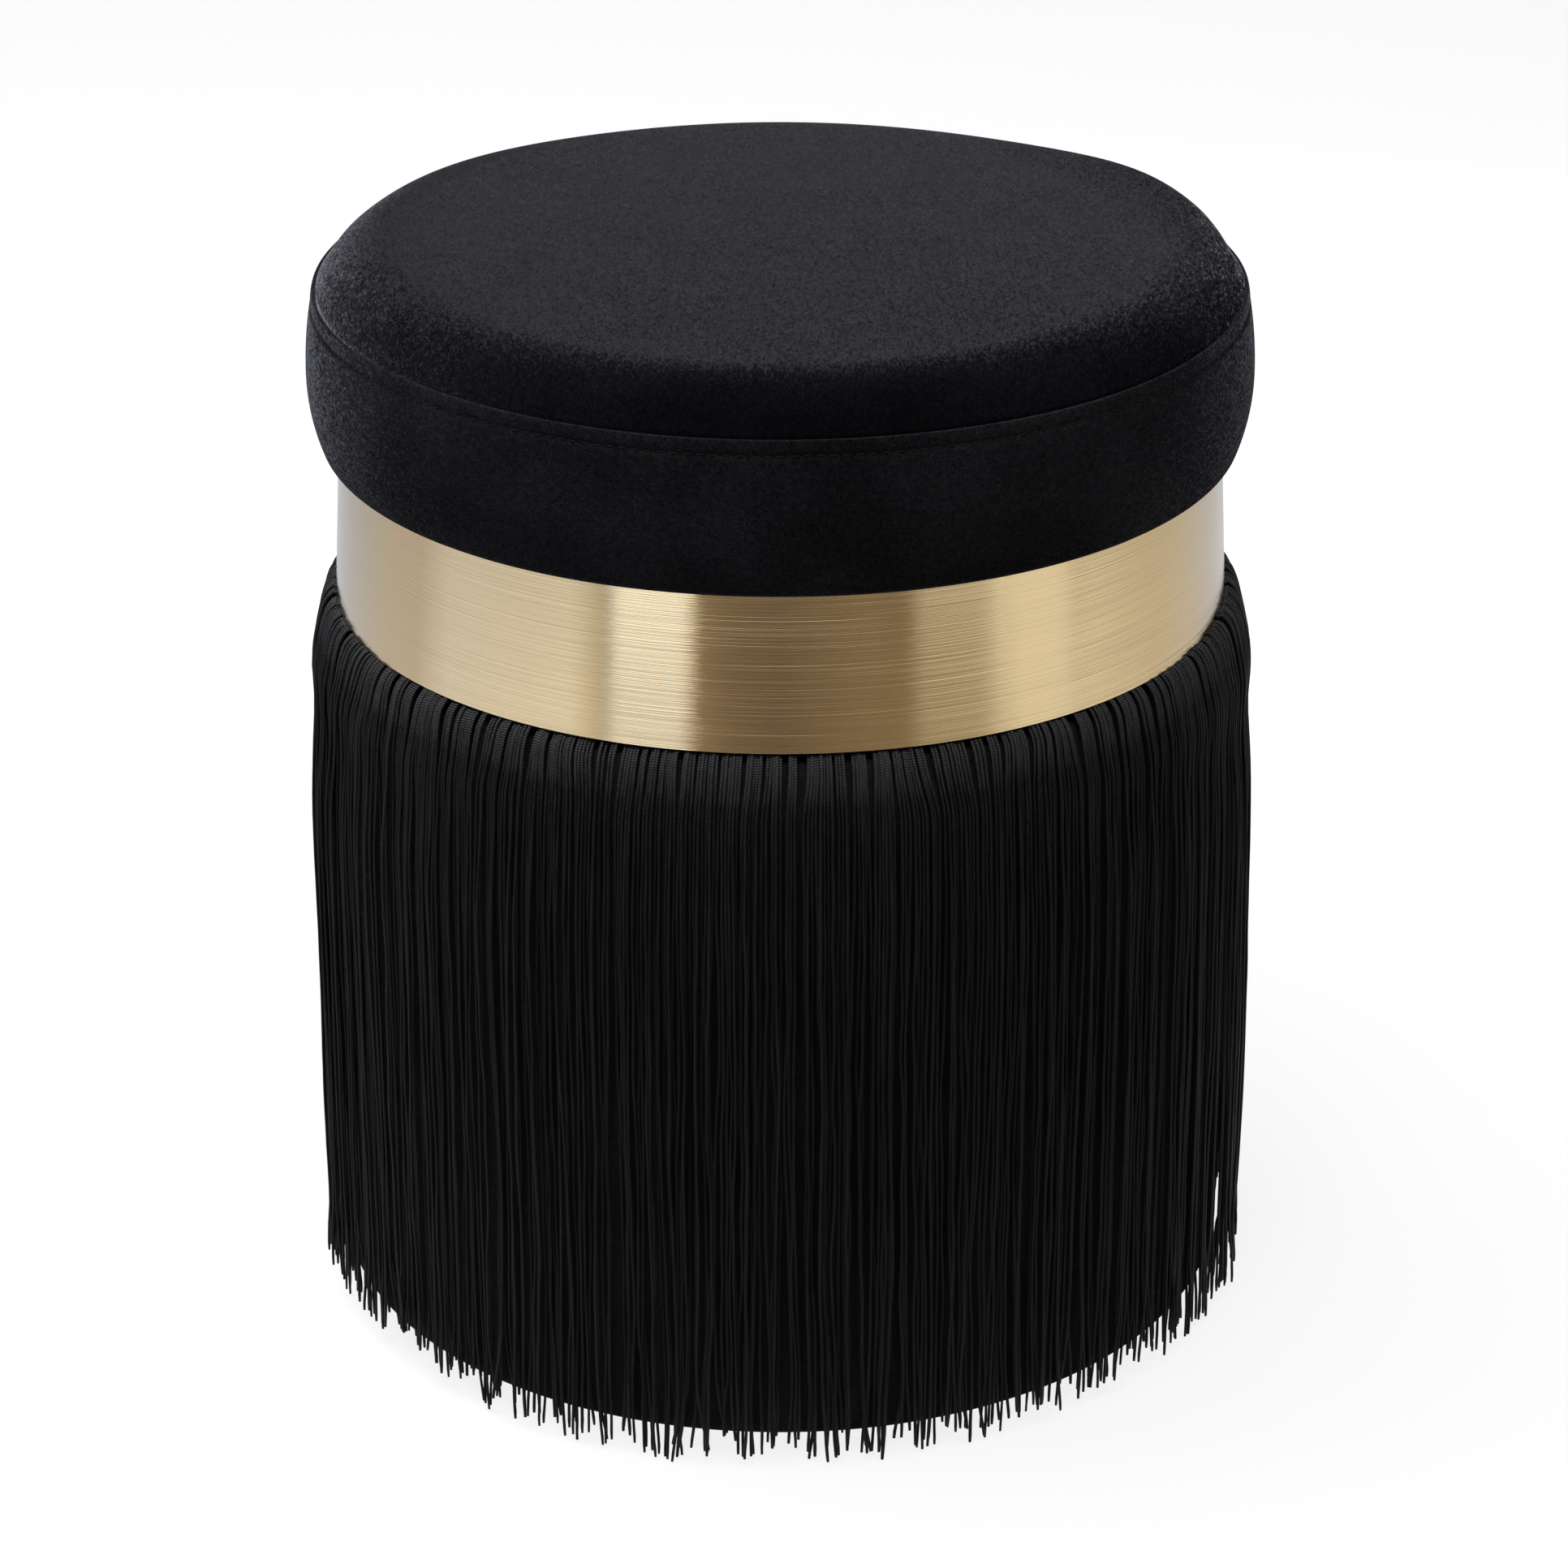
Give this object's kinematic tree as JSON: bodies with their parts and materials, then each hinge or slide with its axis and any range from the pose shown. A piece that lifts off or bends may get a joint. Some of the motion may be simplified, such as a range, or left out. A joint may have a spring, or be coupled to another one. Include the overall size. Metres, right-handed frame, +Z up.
{
  "type": "fringed stool",
  "caption": "Round upholstered ottoman: padded velvet seat over a flared brass-coloured band, on a padded drum hidden by a hanging cord fringe.",
  "frame": {"origin": "on the floor, at the middle of the stool's footprint", "axes": "+Z up along the stool's axis; -Y towards the front; +Y towards the back, where the band's ends meet"},
  "size_m": [0.3592, 0.3592, 0.4175],
  "materials": {
    "velvet": "short-pile velvet",
    "foam": "open-cell foam",
    "plywood": "bare plywood",
    "hardboard": "bare hardboard",
    "brass_band": "brushed, brass coloured",
    "fringe_yarn": "knitted cord, satin",
    "dust_cloth": "non-woven cloth",
    "zinc_steel": "zinc plated",
    "glide_plastic": "moulded"
  },
  "bodies": {
    "root": {"seat_top_panel": "velvet", "seat_side_panel": "velvet", "drum_cover": "velvet", "seat_foam": "foam", "drum_padding": "foam", "seat_board": "plywood", "collar_upper_board": "plywood", "collar_lower_board": "plywood", "drum_top_board": "plywood", "drum_bottom_board": "plywood", "collar_block_1": "plywood", "collar_block_2": "plywood", "collar_block_3": "plywood", "collar_block_4": "plywood", "collar_block_5": "plywood", "collar_block_6": "plywood", "drum_post_1": "plywood", "drum_post_2": "plywood", "drum_post_3": "plywood", "drum_post_4": "plywood", "drum_post_5": "plywood", "drum_post_6": "plywood", "collar_wall": "hardboard", "drum_wall": "hardboard", "metal_band": "brass_band", "fringe_cords": "fringe_yarn", "fringe_heading": "fringe_yarn", "dust_cover": "dust_cloth", "seat_tee_nuts": "zinc_steel", "seat_bolts": "zinc_steel", "seat_bolt_washers": "zinc_steel", "collar_block_screws": "zinc_steel", "collar_screws": "zinc_steel", "drum_post_screws": "zinc_steel", "glide_screws": "zinc_steel", "glide_1": "glide_plastic", "glide_2": "glide_plastic", "glide_3": "glide_plastic", "glide_4": "glide_plastic"}
  },
  "joints": []
}
